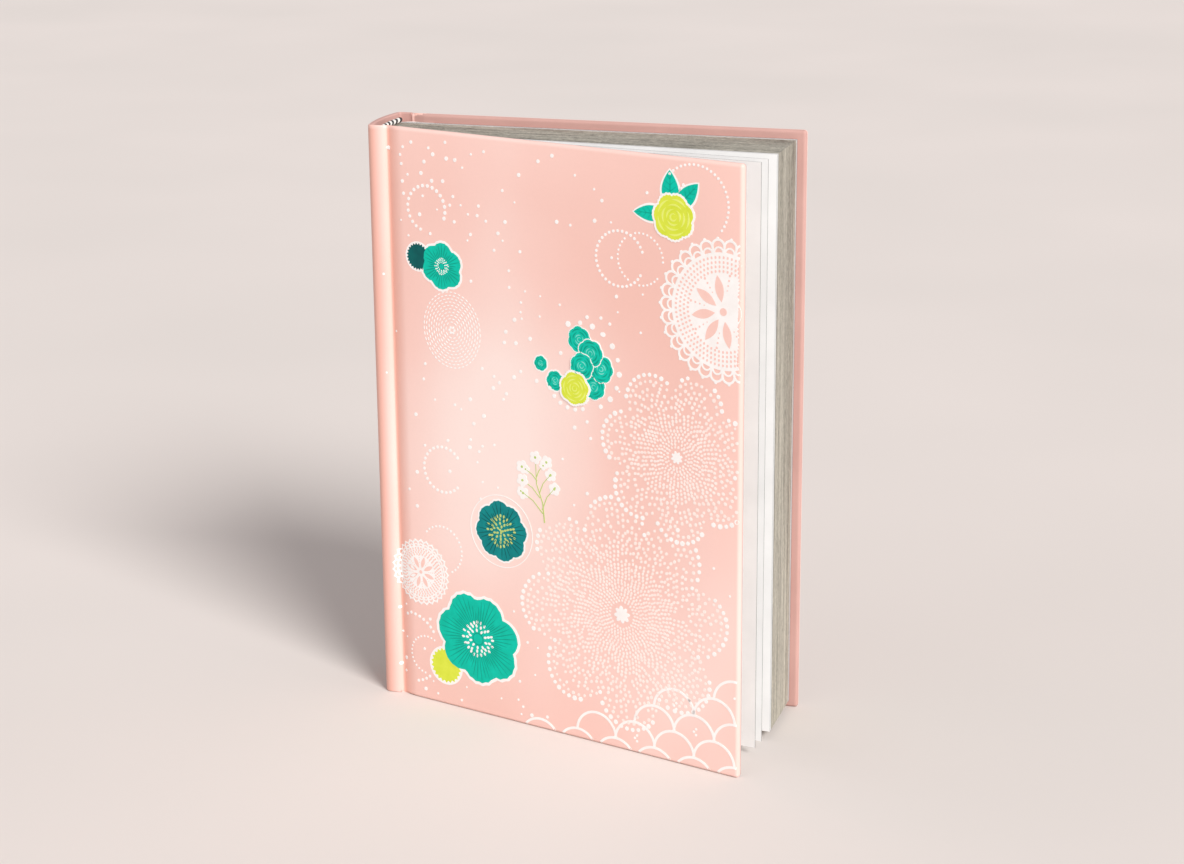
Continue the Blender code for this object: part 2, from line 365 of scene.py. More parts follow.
def covering_material():
    """Printed paper with a satin film: peach pink, paler in broad clouds, with a painted sheen,
    painted shade in the groove and at the spine corner, and painted highlights on the shoulder and
    along the head and fore-edge.
    """
    coat = {"Coat_Weight": 0.12, "Coat_Roughness": 0.4}
    m = Nodes("printed_covering_paper", IOR=1.45, Specular_IOR_Level=0.35, **coat)
    clouds = m.noise(13.0, 2.0, 0.45, m.scaled(1.0, 1.0, 0.75))
    # Painted sheen: a fixed paler spot on the cover, standing in for a broad soft reflection.
    painted_sheen_place = m.add("ShaderNodeMapping", "Vector", {
        "Vector": m.place, "Location": (0.047, 0.0, 0.105), "Scale": (0.062, 0.062, 0.095),
    }, vector_type="TEXTURE")
    broad = m.add("ShaderNodeTexGradient", "Fac", {"Vector": painted_sheen_place}, gradient_type="SPHERICAL")
    tone = m.plus(m.times(clouds, 0.62), m.times(broad, 0.36))
    ground = m.ramp(tone, (0.20, (245, 198, 186)), (0.36, (249, 209, 199)), (0.62, (253, 231, 224)))
    across, up = m.axis("X"), m.axis("Z")
    # Painted shade: a darker, deeper salmon down in the groove, fading out over the ramp.
    painted_groove_shade = m.remap(across, 0.75, 0.0, 0.0002, 0.0062)
    painted_groove_shade_start = m.remap(across, 0.0, 1.0, -0.0006, 0.0001)
    ground = m.mix(m.times(painted_groove_shade, painted_groove_shade_start), ground, (246, 180, 160))
    # Painted shade: darker towards the spine corner, which faces away from the key light.
    corner = m.remap(across, 0.85, 0.0, -0.0052, -0.0026)
    ground = m.mix(corner, ground, (226, 170, 154))
    # Painted highlight: a paler band on the shoulder, just left of the groove.
    before_ridge = m.remap(across, 0.0, 0.12, -0.0042, -0.0022)
    ridge = m.times(before_ridge, m.remap(across, 1.0, 0.0, -0.0012, -0.0005))
    # Painted highlight: paler along the rounded fore-edge and head, mottled by noise, mixed with the
    # shoulder's painted highlight.
    fore_edge = m.remap(across, 0.0, 1.0, (FORE_EDGE - 1.5) * MM, (FORE_EDGE - 0.9) * MM)
    head = m.remap(up, 0.0, 1.0, (HEIGHT - 1.5) * MM, (HEIGHT - 0.9) * MM)
    painted_edge_highlight = m.times(m.larger(fore_edge, head), m.remap(m.noise(120.0, 4.0, 0.7), 0.15, 0.6))
    ground = m.mix(m.larger(painted_edge_highlight, m.times(ridge, 0.7)), ground, (247, 214, 205))
    colour = m.mix(1.0, ground, m.remap(m.noise(900.0, 2.0), 0.97, 1.0), "MULTIPLY")
    rough = m.remap(m.noise(60.0, 4.0), 0.36, 0.46)
    return m.finish(colour, rough, m.noise(2600.0, 4.0, 0.6), 0.012, 0.35)


def paper_material(name, light, dark, roughness, on_cad=False):
    m = Nodes(name, on_cad, IOR=1.4)
    fibres = m.noise(1600.0, 5.0, 0.65, m.scaled(1, 1, 0.35))
    colour = m.ramp(m.noise(45.0, 4.0, 0.55), (0.3, dark), (0.7, light))
    rough = m.remap(fibres, roughness - 0.06, roughness + 0.06)
    return m.finish(colour, rough, m.plus(m.noise(28.0, 2.0, 0.4), fibres), 0.02, 0.4)


def pastedown_material():
    """Blush lining paper, with painted shade along its head and fore-edge: a dark rose band beside the
    turned-in covering.
    """
    m = Nodes("pastedown_blush", True, IOR=1.4)
    head = m.remap(m.axis("Z"), 0.0, 1.0, (LEAF_TOP - 0.5) * MM, (LEAF_TOP - 0.25) * MM)
    edge = ORIGIN.x + LEAF_EDGE
    fore_edge = m.remap(m.axis("X"), 0.0, 1.0, (edge - 0.5) * MM, (edge - 0.25) * MM)
    fibres = m.noise(1600.0, 5.0, 0.65)
    paper = m.ramp(m.noise(45.0, 4.0, 0.55), (0.3, (243, 230, 224)), (0.7, (248, 238, 233)))
    # Painted shade: the margin beside the turn-ins darkened to the dusty rose of the shaded turn-ins.
    colour = m.mix(m.larger(head, fore_edge), paper, (196, 152, 143))
    return m.finish(colour, m.remap(fibres, 0.66, 0.78), fibres, 0.02, 0.4)


def edge_material(name, light, dark, deep, metallic):
    """The coated edges of a stack of leaves: fine lines that run along the leaves, with a painted
    sheen that makes them lighter towards the tail.
    """
    m = Nodes(name, Metallic=metallic, Anisotropic=0.4)
    across = m.noise(1.0, 5.0, 0.7, m.scaled(300.0, 2600.0, 14.0))
    broad = m.noise(1.0, 3.0, 0.6, m.scaled(25.0, 420.0, 9.0))
    speckle = m.noise(1.0, 4.0, 0.75, m.scaled(1500.0, 3200.0, 520.0))
    # Painted sheen: the coated edges lighter towards the tail.
    painted_tail_sheen = m.remap(m.axis("Z"), 0.03, 0.0, 0.0, 0.15)
    lines = m.plus(m.times(across, 0.42), m.times(broad, 0.26))
    streaks_and_sheen = m.plus(m.plus(lines, painted_tail_sheen), m.times(speckle, 0.32))
    colour = m.ramp(streaks_and_sheen, (0.40, deep), (0.5, dark), (0.60, light))
    return m.finish(colour, m.remap(across, 0.32, 0.5, 0.3, 0.7), streaks_and_sheen, 0.05, 0.6)


def board_material():
    m = Nodes("greyboard_pulp", True)
    fibres = m.noise(700.0, 6.0, 0.7)
    colour = m.ramp(fibres, (0.3, (120, 116, 108)), (0.6, (160, 154, 144)), (0.8, (178, 172, 162)))
    return m.finish(colour, m.remap(fibres, 0.84, 0.96), fibres, 0.06, 0.6)


def woven_material(name, light, dark, pitch, height):
    """Plain weave: two crossed waves whose threads pass over each other in turn."""
    m = Nodes(name, True, Sheen_Weight=0.25, Sheen_Roughness=0.5)
    scale = 0.314 / (pitch * MM) / 2
    across = m.plus(m.wave(scale, "Y", 0.4), m.wave(scale, "X", 0.4))
    over = m.larger(m.times(across, 0.5), m.wave(scale, "Z", 0.4))
    weave = m.plus(m.times(over, 0.8), m.times(m.noise(2200.0, 4.0, 0.7), 0.2))
    colour = m.ramp(weave, (0.3, dark), (0.75, light))
    return m.finish(colour, m.remap(weave, 0.9, 0.75), weave, height, 0.7)


def thread_material(name, light, dark, on_cad=False):
    m = Nodes(name, on_cad, Sheen_Weight=0.3, Sheen_Roughness=0.4)
    twist = m.wave(900.0, "DIAGONAL", 1.0, 2.0, m.scaled(1, 1, 1, (0.6, 0.5, 0.0)))
    fuzz = m.noise(4000.0)
    colour = m.ramp(m.plus(m.times(twist, 0.6), m.times(fuzz, 0.4)), (0.25, dark), (0.7, light))
    return m.finish(colour, m.remap(fuzz, 0.5, 0.7), twist, 0.04, 0.5)


def ink_material(name, light, dark):
    """Screen-printed ink: slightly mottled, with a fine orange-peel surface."""
    m = Nodes(f"ink_{name}", Specular_IOR_Level=0.15)
    colour = m.ramp(m.noise(180.0, 4.0, 0.6), (0.35, dark), (0.65, light))
    peel = m.noise(1500.0, 2.0)
    return m.finish(colour, m.remap(peel, 0.5, 0.6), peel, 0.01)


COVERING = covering_material()
# Painted shade: the turned-in covering is the same paper, coloured a darker dusty pink for the shade
# inside the case.
TURNED_IN_SHADED = paper_material("turned_in_covering_shaded", (208, 165, 156), (200, 157, 148), 0.6)
LINING = paper_material("lining_paper_blush", (248, 238, 233), (243, 230, 224), 0.7)
PASTEDOWN = pastedown_material()
LEAF_WHITE = paper_material("leaf_paper_white", (246, 246, 245), (236, 236, 235), 0.7)
LEAF_RIM = edge_material("leaf_edge_silver", (112, 113, 112), (78, 79, 80), (52, 53, 54), 0.2)
PAGE_EDGES = edge_material("page_edges_champagne", (221, 217, 203), (175, 171, 158), (99, 96, 88), 0.5)
GREYBOARD = board_material()
TAPE_COTTON = woven_material("binding_tape_cotton", (238, 232, 216), (200, 192, 172), 0.45, 0.08)
GAUZE = woven_material("mull_gauze", (235, 230, 214), (170, 163, 142), 0.8, 0.15)
LINER_PAPER = paper_material("spine_liner_kraft", (206, 172, 130), (184, 150, 110), 0.85, True)
SEWING = thread_material("sewing_thread_linen", (245, 240, 226), (205, 198, 178), True)
BAND_WHITE = thread_material("band_thread_white", (246, 244, 240), (205, 202, 196))
BAND_BLACK = thread_material("band_thread_black", (46, 44, 44), (16, 15, 16))


# ---- the covering

def outer_depth(x):
    """How deep the covering's outer face lies below the cover's plane."""
    if x >= RAMP:
        return 0.0
    if x >= RAMP_START:
        return GROOVE_DEPTH * (1 - (x - RAMP_START) / (RAMP - RAMP_START)) ** 2
    if x >= -RAMP_START:
        return GROOVE_DEPTH
    rise = min(1.0, (-x - RAMP_START) / 2.8)
    return SHOULDER_DEPTH + (GROOVE_DEPTH - SHOULDER_DEPTH) * (1 - rise) ** 3


def inner_depth(x):
    """The covering's inner face: the board's inside, or the thin strip over the joint."""
    depths = (outer_depth(SEAM) + SHOULDER_THICK, 1.8, 2.15, COVER)
    return float(np.interp(x, (SEAM, 0.0, 1.5, BOARD_START), depths))


def end_stations(height, radius, middle, steps=5):
    """(z, inset) of rings from tail to head, with both ends rounded."""
    quarter = spread(math.pi / 2, 0.0, steps)
    tail = [(radius * (1 - math.sin(a)), radius * (1 - math.cos(a))) for a in quarter]
    between = [(z, 0.0) for z in spread(radius, height - radius, middle + 1)[1:-1]]
    return tail + between + [(height - z, e) for z, e in reversed(tail)]


def spine_x(y):
    half = THICKNESS / 2 - SPINE_CORNER
    across = (y - THICKNESS / 2) / half
    return -SHOULDER - SPINE_BULGE * max(0.0, 1 - across * across)


def board_ring(z, inset):
    """A cover's section at one height, from the seam to the fore-edge and back inside."""
    def drawn_in(x):
        """The inset, or less where the covering is thin."""
        return min(inset, (inner_depth(x) - outer_depth(x)) / 2 - 0.05)

    flat = [20.0, 60.0, 100.0, 130.0]
    outside = [SEAM, -0.9, -0.7, -0.5, -0.3, -0.1, 0.1, *spread(RAMP_START, RAMP, 10), *flat]
    inside = [*flat[::-1], BOARD_START, 3.2, 1.5, 0.9, 0.5, 0.2, 0.0, -0.2, -0.5, -0.8, SEAM]
    ring = [(x, outer_depth(x) + drawn_in(x), z) for x in outside]
    radius = EDGE_ROUND - inset
    for centre_y, turn in ((EDGE_ROUND, 0), (COVER - EDGE_ROUND, 90)):
        for i in range(6):
            x, y = polar(FORE_EDGE - EDGE_ROUND, centre_y, radius, math.radians(turn + 18 * i - 90))
            ring.append((x, y, z))
    return ring + [(x, inner_depth(x) - drawn_in(x), z) for x in inside]


def spine_half_outline(steps=7):
    """The outside from the front seam over the shoulder and round the corner to the spine's face."""
    shoulder = [(x, outer_depth(x)) for x in (SEAM, -1.4, -1.8, -2.3, -3.0, -4.2)]
    centre = (SPINE_CORNER - SHOULDER, SHOULDER_DEPTH + SPINE_CORNER)
    return shoulder + arc_points(*centre, SPINE_CORNER, -90, -180, steps)


def spine_outline():
    front = spine_half_outline()
    low = front[-1][1]
    face = [(spine_x(y), y) for y in spread(low, THICKNESS - low, 14)[1:-1]]
    back = [(x, THICKNESS - y) for x, y in reversed(front)]
    return front + face + back


def offset_outline(outline, distance):
    """The outline moved to its right by a distance for each point."""
    out = []
    for i, (x, y) in enumerate(outline):
        ax, ay = outline[max(i - 1, 0)]
        bx, by = outline[min(i + 1, len(outline) - 1)]
        step = distance[i] / math.hypot(bx - ax, by - ay)
        out.append((x + (by - ay) * step, y - (bx - ax) * step))
    return out


def make_spine_covering():
    outline = spine_outline()
    count = len(outline)
    thick = []
    for x, y in outline:
        depth = min(y, THICKNESS - y)
        share = float(smoothstep((depth - 0.3) / 3.0))
        thick.append(SHOULDER_THICK + (SPINE_THICK - SHOULDER_THICK) * share)
    shell = Shell()
    rings = []
    end_round = 0.6
    for z, inset in end_stations(HEIGHT, end_round, 7):
        share = inset / end_round
        outside = offset_outline(outline, [share * 0.55] * count)
        inside = offset_outline(outline, [t - share * 0.45 for t in thick])
        rings.append([(x, y, z) for x, y in outside] + [(x, y, z) for x, y in reversed(inside)])
    loft(shell, rings)
    for i, face in enumerate(shell.faces):
        if len(face) > 4 or any(p % (2 * count) >= count for p in face):
            shell.kinds[i] = 1
    piece = shell.object("spine_covering", [COVERING, TURNED_IN_SHADED])
    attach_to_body(piece, "book_block")
    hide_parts("spine_wrap")


def bend_cover(piece):
    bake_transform(piece)


PLACES = {"front": open_front, "back": to_back}


def make_cover_covering(side):
    shell = Shell()
    loft(shell, [board_ring(z, inset) for z, inset in end_stations(HEIGHT, EDGE_ROUND, 9)])
    for i, face in enumerate(shell.faces):
        if all(shell.points[p][1] > COVER - EDGE_ROUND - 0.05 for p in face):
            shell.kinds[i] = 1
    piece = shell.object(f"{side}_covering", [COVERING, TURNED_IN_SHADED], PLACES[side])
    bend_cover(piece)
    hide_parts(f"{side}_cover_wrap")


# ---- leaves and pages

def leaf_place(name):
    """A leaf's fold in closed-book millimetres."""
    return joint_place(f"{name}_turn") - ORIGIN


def make_leaf(name, angle, along, side):
    pivot = leaf_place(name)
    lean = BLOCK_FAN if side == "front" else 0.0
    length = LEAF_EDGE - along
    back = pivot.x - BLOCK_BACK - 0.3
    xs = [-back, -back / 2, -FOLD_HALF, -0.7, -0.35, 0.0, 0.35, 0.7, FOLD_HALF]
    xs += spread(0.0, length, 12)[1:]
    zs = spread(LEAF_BOTTOM, LEAF_TOP, 10)
    shell = Shell()
    columns = len(xs)
    for depth, flip in ((-PAPER / 2, 1), (PAPER / 2, -1)):
        points = [(x, depth, z) for z in zs for x in xs]
        faces = []
        for r in range(len(zs) - 1):
            for c in range(columns - 1):
                a = r * columns + c
                quad = (a, a + 1, a + columns + 1, a + columns)
                faces.append(quad[::flip])
        shell.add(points, faces)
    half = columns * len(zs)
    outline = list(range(columns))
    outline += [r * columns + columns - 1 for r in range(1, len(zs))]
    outline += [(len(zs) - 1) * columns + c for c in reversed(range(columns - 1))]
    outline += [r * columns for r in reversed(range(1, len(zs) - 1))]
    for a, b in zip(outline, outline[1:] + outline[:1]):
        shell.faces.append((a, a + half, b + half, b))
        shell.kinds.append(1)

    def place(points):
        share = smoothstep((points[:, 0] + FOLD_HALF) / (2 * FOLD_HALF))
        swung = turned(points, (0.0, 0.0), (angle - lean) if side == "front" else 0.0, share)
        leaned = turned(swung, (0.0, 0.0), lean)
        return leaned + np.array([pivot.x, pivot.y, 0.0])

    piece = shell.object(name + "_sheet", [LEAF_WHITE, LEAF_RIM], place)
    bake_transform(piece)
    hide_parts(name)


def make_leaves():
    for side, leaves in (("front", FRONT_LEAVES), ("back", BACK_LEAVES)):
        for i, (name, angle) in enumerate(leaves):
            make_leaf(name, angle, FIRST_PIVOT + PIVOT_STEP * i, side)


def page_ring(y, share, inset, waves):
    """The outline of one leaf in a section, standing in the x-z plane."""
    left, right = BLOCK_BACK, LEAF_EDGE - inset
    low, high = LEAF_BOTTOM + inset, LEAF_TOP - inset
    slope = math.tan(math.radians(BLOCK_FAN)) * share
    xs, zs = spread(left, right, 8), spread(low, high, 10)
    plan = [(x, low) for x in xs] + [(right, z) for z in zs[1:-1]]
    plan += [(x, high) for x in reversed(xs)] + [(left, z) for z in reversed(zs[1:-1])]
    ring = []
    for n, (x, z) in enumerate(plan):
        push = waves[n % len(waves)] * 0.03
        if x == right and low < z < high:
            x += push
        elif z in (low, high) and left < x < right:
            z += push
        ring.append((x, y - slope * (x - BLOCK_BACK), z))
    return ring


def make_sections(leaves_each=8):
    """Folded sections whose leaves show as fine ridges along the coated edges."""
    draw = random.Random(11)
    pitch = (BLOCK_REAR - BLOCK_FRONT + SECTION_GAP) / SECTIONS
    for i in range(SECTIONS):
        first, last = i == 0, i == SECTIONS - 1
        front = BLOCK_FRONT + pitch * i - (0.0 if first else SECTION_SWELL)
        rear = BLOCK_FRONT + pitch * (i + 1) - SECTION_GAP + (0.0 if last else SECTION_SWELL)
        step = (rear - front) / leaves_each
        shell = Shell()
        rings = []
        for k in range(leaves_each):
            jitter = abs(draw.gauss(0.0, 0.07))
            waves = [draw.uniform(-1, 1) for _ in range(RIPPLES)]
            for part, notch in ((0.04, 0.12), (0.14, 0.0), (0.86, 0.0), (0.96, 0.12)):
                y = front + step * (k + part)
                if (k, part) in ((0, 0.04), (leaves_each - 1, 0.96)):
                    y, notch = (rear if k else front), 0.05
                share = (BLOCK_REAR - y) / (BLOCK_REAR - BLOCK_FRONT)
                rings.append(page_ring(y, share, jitter + notch, waves))
        loft(shell, rings)
        name = f"section_{i + 1:02d}"
        shell.kinds[-2:] = [int(first), int(last)]
        piece = shell.object(f"{name}_pages", [PAGE_EDGES, LEAF_WHITE], smooth=False)
        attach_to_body(piece, "book_block")
        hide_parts(name)


# ---- bands and gutters

def make_band(name, z):
    """Thread wound in slanting turns round a core, black and white in pairs."""
    low, high = BAND_INSET, THICKNESS - BAND_INSET
    turns, sides, slant = 30, 14, 0.54
    pitch = (high - low) / turns
    shell = Shell()

    def centre_x(y):
        bow = 1 - ((2 * y - low - high) / (high - low)) ** 2
        return BLOCK_BACK + 1.1 - 0.5 * bow

    for t in range(turns):
        rings = []
        for part, swell in ((0.0, 0.80), (0.18, 0.94), (0.5, 1.0), (0.82, 0.94), (1.0, 0.80)):
            y = low + pitch * (t + part)
            ring = []
            for a in around(sides):
                leant = min(max(y + slant * math.sin(a), low), high)
                x, up = polar(centre_x(leant), z, BAND / 2 * swell, a)
                ring.append((x, leant, up))
            rings.append(ring)
        loft(shell, rings, kind=(t // 3) % 2, caps=t in (0, turns - 1))
    piece = shell.object(f"{name}_winding", [BAND_WHITE, BAND_BLACK])
    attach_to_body(piece, "book_block")
    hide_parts(name)


def make_gutter(side):
    """The lining paper that crosses the joint inside, from the cover to the first leaf's fold."""
    route = [
        (-4.4, 4.05), (-3.2, 3.6), (-2.2, 3.05), (-1.2, 2.6), (-0.6, 2.42), (-0.3, 2.36), (0.0, 2.34),
        (0.3, 2.36), (0.6, 2.42), (1.4, 2.62), (2.8, 3.0), (4.2, 3.28), (5.6, 3.4), (8.0, 3.42),
    ]
    thick = 0.22
    shell, rings = Shell(), []
    for z in spread(LEAF_BOTTOM, LEAF_TOP, 8):
        front = [(x, y, z) for x, y in route]
        rear = [(x, y, z) for x, y in offset_outline(route, [-thick] * len(route))]
        rings.append(front + rear[::-1])
    loft(shell, rings)
    piece = shell.object(f"{side}_gutter_lining", [LINING], PLACES[side])
    bend_cover(piece)
    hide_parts(f"{side}_joint")


# ---- carried-over CAD nodes

def dress_cad_nodes():
    for material, names in (
        (GREYBOARD, ("front_board", "back_board", "spine_board")),
        (PASTEDOWN, ("front_pastedown", "back_pastedown")),
        (SEWING, ("kettle_thread_head", "kettle_thread_tail")),
        (TAPE_COTTON, ("tape_head", "tape_middle", "tape_tail")),
        (GAUZE, ("mull",)),
        (LINER_PAPER, ("spine_liner",)),
    ):
        for node in map(NODES.get, names):
            if not node.material_slots:
                node.data.materials.append(material)
            for slot in node.material_slots:
                slot.material = material


# ---- printed artwork

# How far each layer of ink stands on the covering.
HALO, COLOUR, DETAIL = 0.03, 0.06, 0.09
INK_ROOT = -0.05
LAYER_STEP = 0.0016
LAYER_CYCLE = 11

INKS = {
    name: ink_material(name, light, dark) for name, light, dark in (
        ("ground", (249, 209, 199), (246, 203, 192)),
        ("teal_light", (126, 222, 208), (96, 210, 194)),
        ("pale", (254, 240, 234), (251, 232, 225)),
        ("white", (253, 251, 249), (247, 243, 240)),
        ("teal", (0, 201, 176), (0, 187, 161)),
        ("teal_line", (0, 160, 138), (0, 148, 128)),
        ("deep_teal", (4, 98, 96), (2, 84, 84)),
        ("sea_teal", (12, 141, 141), (8, 125, 127)),
        ("lime", (223, 234, 78), (213, 226, 64)),
        ("lime_line", (236, 244, 130), (226, 238, 108)),
        ("leaf_green", (196, 216, 132), (182, 204, 114)),
    )
}
INK_LINES = {"teal": "teal_line", "sea_teal": "deep_teal"}  # the ink of a flower's folds


def rounding(u, v):
    """How far the covering's rounded edge falls below its plane."""
    t = max(0.0, min(FORE_EDGE - u, v, HEIGHT - v))
    if t >= EDGE_ROUND:
        return 0.0
    return EDGE_ROUND - math.sqrt(EDGE_ROUND ** 2 - (EDGE_ROUND - t) ** 2)


def cover_face(u, v, lift):
    return (u, outer_depth(u) + rounding(u, v) - lift, v)


def spine_face(y, v, lift):
    return (spine_x(y) - lift, y, v)


class Artwork:
    """Printed shapes on one face of the case, gathered by ink. u is across and v is up."""

    def __init__(self, side, face, low, high):
        self.side, self.face, self.low, self.high = side, face, low, high
        self.shells = {}
        self.taken = []
        self.made = 0
        self.raised = 0.0

    def off(self, points):
        return any(not (self.low <= u <= self.high and 0.25 <= v <= HEIGHT - 0.25) for u, v in points)

    def clear(self, u, v, room):
        """True where a dot of that radius touches nothing kept so far."""
        return all(math.hypot(u - a, v - b) > room + r for a, b, r in self.taken)

    def keep(self, u, v, room):
        self.taken.append((u, v, room))

    def layer(self, lift):
        """A lift a little unlike its neighbours', so that crossing shapes don't share a plane."""
        self.made += 1
        return lift + self.raised + LAYER_STEP * (self.made % LAYER_CYCLE)

    def ribbon(self, ink, rings):
        if len(rings) > 1:
            loft(self.shells.setdefault(ink, Shell()), rings)

    def shape(self, ink, outline, lift):
        """A flat filled outline."""
        if not self.off(outline):
            levels = (self.layer(lift), INK_ROOT)
            self.ribbon(ink, [[self.face(*point, level) for point in outline] for level in levels])

    def fill(self, ink, u, v, outline, lift, rows=4):
        """A filled outline round (u, v), in rows that follow a curved face."""
        if self.off(outline):
            return
        count = len(outline)
        under = 1 + rows * count
        points, faces = [], []
        for level in (self.layer(lift), INK_ROOT):
            points.append(self.face(u, v, level))
            for row in range(1, rows + 1):
                out = row / rows
                points += [self.face(u + (a - u) * out, v + (b - v) * out, level) for a, b in outline]
        for i in range(count):
            k = (i + 1) % count
            faces += [(0, 1 + i, 1 + k), (under, under + 1 + k, under + 1 + i)]
            for inner in range(1, under - count, count):
                quad = (inner + i, inner + count + i, inner + count + k, inner + k)
                faces += [quad, tuple(under + p for p in reversed(quad))]
            edge = under - count
            faces.append((edge + i, under + edge + i, under + edge + k, edge + k))
        self.shells.setdefault(ink, Shell()).add(points, faces)

    def dot(self, u, v, radius, ink="white", lift=COLOUR, sides=8, stretch=1.0, angle=0.0):
        at = framed(u, v, angle)
        outline = [at(radius * stretch * math.cos(a), radius * math.sin(a)) for a in around(sides)]
        self.shape(ink, outline, lift)

    def stroke(self, points, width, ink="white", lift=COLOUR, closed=False):
        """A line of that width, or of one width for each point. Parts off the face are left out."""
        count = len(points)
        widths = width if isinstance(width, list) else [width] * count
        lift = self.layer(lift)
        run = []
        for i in range(count + closed):
            u, v = points[i % count]
            a = points[(i - 1) % count] if closed or i > 0 else points[i]
            b = points[(i + 1) % count] if closed or i < count - 1 else points[i]
            at = framed(u, v, math.atan2(b[1] - a[1], b[0] - a[0]))
            left, right = at(0.0, widths[i % count] / 2), at(0.0, -widths[i % count] / 2)
            if self.off([left, right]):
                self.ribbon(ink, run)
                run = []
            else:
                run.append([
                    self.face(*left, lift), self.face(*right, lift),
                    self.face(*right, INK_ROOT), self.face(*left, INK_ROOT),
                ])
        self.ribbon(ink, run)

    def blob(self, u, v, radius_at, ink, lift, steps=72):
        self.fill(ink, u, v, [polar(u, v, radius_at(a), a) for a in around(steps)], lift)

    def objects(self, place, attach):
        for ink, shell in self.shells.items():
            piece = shell.object(f"{self.side}_print_{ink}", [INKS[ink]], place, smooth=False)
            attach(piece)


def ring(art, u, v, radius, width, ink="white", lift=COLOUR, steps=48):
    art.stroke(arc_points(u, v, radius, 0, 360, steps)[:-1], width, ink, lift, closed=True)


def dotted_arc(art, u, v, radius, start, end, size, gap, grow=1.0):
    """Dots along a circle; grow makes the last dot that much larger than the first."""
    count = max(4, round(math.radians(abs(end - start)) * radius / gap))
    for i in range(count):
        share = i / count
        spot = polar(u, v, radius, math.radians(start + (end - start) * share))
        dot = size * (1 + (grow - 1) * share)
        if art.clear(*spot, dot):
            art.dot(*spot, dot)
            art.keep(*spot, dot + 0.2)


def petal_edge(radius, petals, turn, depth, ripple=0.012, uneven=0.0):
    """A flower's outline: round lobes with a fine ripple, some lobes longer than others."""
    def at(angle):
        lobe = abs(math.cos(petals * (angle - turn) / 2)) ** 0.75
        fine = math.cos(5 * petals * angle + 2) * ripple + math.cos(3.3 * angle + turn) * ripple
        slow = math.cos(2 * angle + 3 * turn) * uneven
        return radius * (1 - depth + depth * lobe + fine + slow)
    return at


def flower(art, u, v, radius, ink, petals, turn, eye, folds, halo=0.9, full_eye=False):
    """An open flower: halo, petals, pressed folds and a ring of stamens, or a full disc of them."""
    line, seed = INK_LINES[ink], "leaf_green" if full_eye else "white"
    depth, uneven = (0.11, 0.01) if full_eye else (0.15, 0.035)
    edge = petal_edge(radius, petals, turn, depth, uneven=uneven)
    art.blob(u, v, lambda a: edge(a) + halo, "white", HALO)
    art.blob(u, v, edge, ink, COLOUR)
    for i, angle in enumerate(around(petals * folds, 0.5, turn)):
        place = i % folds
        reach = 0.97 if place in (0, folds - 1) else 0.80 + 0.13 * math.sin(9 * place / folds)
        bend = 0.05 * math.sin(petals * (angle - turn))
        fold = []
        for share in (0, 0.3, 0.6, 0.85, 1):
            out = edge(angle) * (0.36 + (reach - 0.36) * share)
            fold.append(polar(u, v, out, angle + bend * share))
        art.stroke(fold, [0.18, 0.30, 0.32, 0.2, 0.06], line, DETAIL)
    rows = ((0.55, 10), (0.78, 15), (1.0, 20))
    if full_eye:
        rows = ((0.1, 3), (0.32, 6), *rows)
    else:
        ring(art, u, v, radius * 0.13, 0.35, line, DETAIL, 24)
    for share, count in rows:
        for i, step in enumerate(around(count, share)):
            angle = step + 0.12 * math.sin(7 * i)
            spot = polar(u, v, eye * share * (0.96 + 0.05 * math.sin(5 * i)), angle)
            art.dot(*spot, max(0.22, eye * 0.075), seed, DETAIL, 7, 1.5, angle)
    art.keep(u, v, radius + 1.6)


def serrated_disc(art, u, v, radius, ink, teeth=24):
    reach = (0.86, 1.0)
    outline = [polar(u, v, radius * reach[i % 2], a) for i, a in enumerate(around(teeth * 2))]
    art.fill("white", u, v, [polar(u, v, radius * 1.1, a) for a in around(36)], HALO - 0.01)
    art.fill(ink, u, v, outline, COLOUR - 0.01)
    art.keep(u, v, radius + 1.2)


def mirrored(at, half, trim):
    """A closed outline: one half as (along, across), then the same across the axis.

    The tip comes with the first half where trim is 0, and with the second where it is 1.
    """
    back = reversed(half[1:len(half) - 1 + trim])
    return [at(*p) for p in half[:len(half) - trim]] + [at(x, -y) for x, y in back]


def leaf(art, u, v, length, width, degrees):
    """A pointed leaf with a midrib, growing from (u, v)."""
    at = framed(u, v, math.radians(degrees))

    def half(share, extra=0.0):
        return (width / 2 + extra) * math.sin(math.pi * share ** 0.85) ** 0.85

    for extra, ink, lift in ((0.8, "white", HALO), (0.0, "teal", COLOUR)):
        run = length + extra * 1.6
        side = [(run * share - extra * 0.8, half(share, extra)) for share in spread(0, 1, 12)]
        art.shape(ink, mirrored(at, side, 0), lift)
    midrib = [at(length * s, 0.15 * math.sin(6 * s)) for s in (0.08, 0.3, 0.55, 0.8, 0.93)]
    art.stroke(midrib, [0.4, 0.34, 0.26, 0.16, 0.06], "teal_line", DETAIL)
    for i in range(1, 5):
        start = length * (0.12 + 0.16 * i)
        for way in (-1, 1):
            tip = at(start + length * 0.12, way * half(0.2 + 0.16 * i) * 0.72)
            art.stroke([at(start), tip], [0.2, 0.08], "teal_line", DETAIL)


